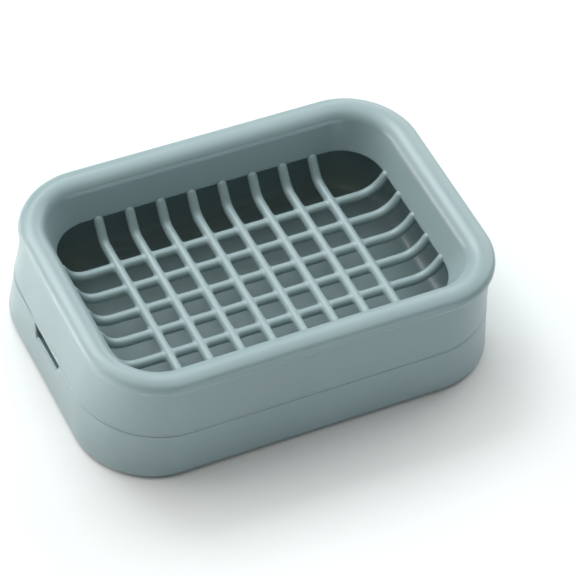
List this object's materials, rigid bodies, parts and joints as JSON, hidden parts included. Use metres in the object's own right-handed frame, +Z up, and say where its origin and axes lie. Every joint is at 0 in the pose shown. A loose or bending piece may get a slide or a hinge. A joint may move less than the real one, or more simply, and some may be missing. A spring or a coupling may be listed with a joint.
{
  "type": "draining soap box",
  "caption": "Rectangular draining soap box: a rolled-rim tray with a basin of round bars lifts off a shallow water box with a finger notch.",
  "frame": {"origin": "middle of the underside, on the plane that the water box stands on", "axes": "+X along the long side, away from the end with the finger notch; +Y to the back along the short side; +Z up, the way the tray lifts off"},
  "size_m": [0.128, 0.09, 0.037],
  "materials": {
    "water_box_plastic": "smooth moulded polypropylene, grey-green blue, coloured right through",
    "draining_tray_plastic": "smooth moulded polypropylene, grey-green blue, coloured right through"
  },
  "bodies": {
    "base": {"water_box": "water_box_plastic"},
    "tray": {"draining_tray": "draining_tray_plastic"}
  },
  "joints": [
    {"name": "tray_lift", "type": "slide", "parent": "base", "child": "tray", "axis": [0, 0, 1], "range_m": [0, 0.035]}
  ]
}
